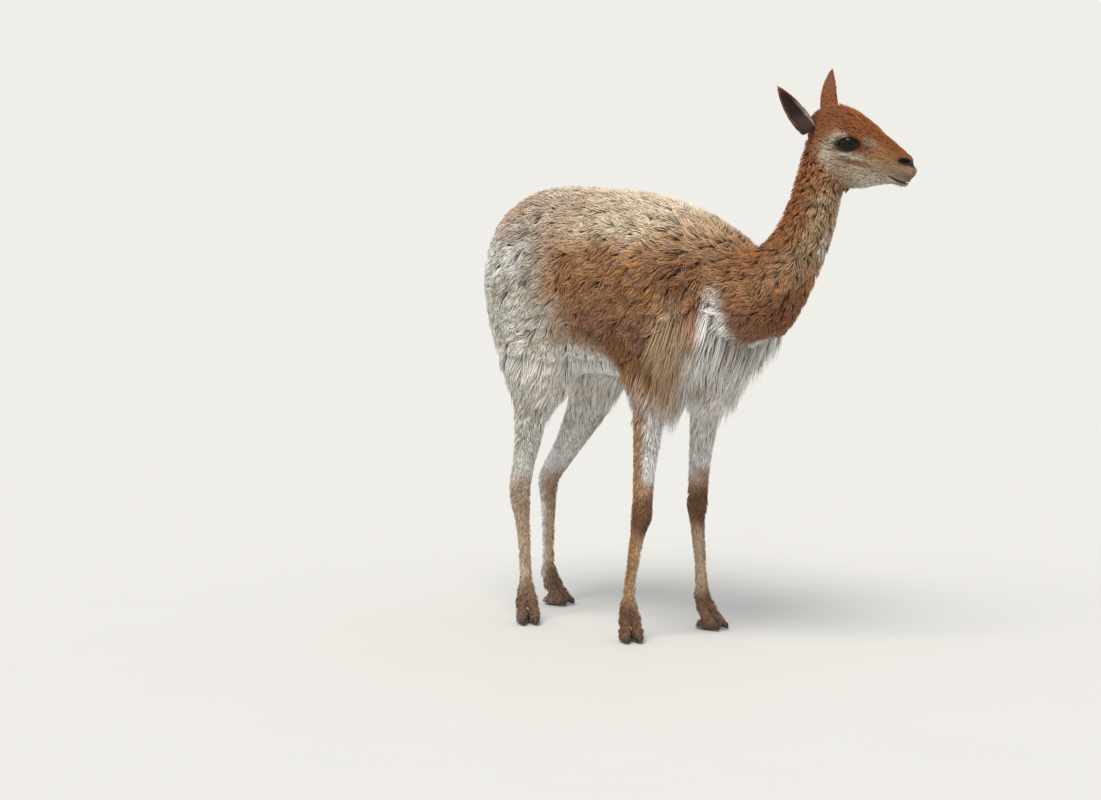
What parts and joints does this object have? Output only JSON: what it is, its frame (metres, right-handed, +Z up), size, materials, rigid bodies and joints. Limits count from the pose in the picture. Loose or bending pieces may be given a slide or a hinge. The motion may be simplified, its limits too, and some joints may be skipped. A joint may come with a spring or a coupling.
{
  "type": "vicuna",
  "caption": "Life-size standing vicuna with a long neck, upright ears, a long white chest bib and woolly cinnamon coat.",
  "frame": {"origin": "on the floor under the middle of the animal's box, between its four feet", "axes": "+X the way the body faces, +Y its left side, +Z up to the ears, the longest extent"},
  "size_m": [0.9806, 0.3298, 1.0867],
  "materials": {
    "saddle_fleece": "matte woolly fleece, cinnamon brown",
    "rump_fleece": "matte woolly fleece, greyish cream",
    "chest_fleece": "matte long white hair under cinnamon fleece",
    "neck_fleece": "matte short woolly coat, cinnamon",
    "face_fur": "short flat fur, russet and pale grey",
    "leg_fur": "short flat fur, cinnamon and white",
    "foot_fur": "short flat fur, brown",
    "ear_fur": "short flat fur, brown with a dark inside",
    "toenail": "dull dark horn",
    "eyeball": "wet and clear, dark brown"
  },
  "bodies": {
    "root": {"chest": "chest_fleece", "ear_left": "ear_fur", "ear_right": "ear_fur", "eye_left": "eyeball", "eye_right": "eyeball", "fore_left_cannon": "leg_fur", "fore_left_foot": "foot_fur", "fore_left_nail_left": "toenail", "fore_left_nail_right": "toenail", "fore_left_upper": "leg_fur", "fore_right_cannon": "leg_fur", "fore_right_foot": "foot_fur", "fore_right_nail_left": "toenail", "fore_right_nail_right": "toenail", "fore_right_upper": "leg_fur", "head": "face_fur", "hind_left_cannon": "leg_fur", "hind_left_foot": "foot_fur", "hind_left_nail_left": "toenail", "hind_left_nail_right": "toenail", "hind_left_upper": "leg_fur", "hind_right_cannon": "leg_fur", "hind_right_foot": "foot_fur", "hind_right_nail_left": "toenail", "hind_right_nail_right": "toenail", "hind_right_upper": "leg_fur", "neck": "neck_fleece", "tail": "rump_fleece", "torso": "saddle_fleece"}
  },
  "joints": []
}
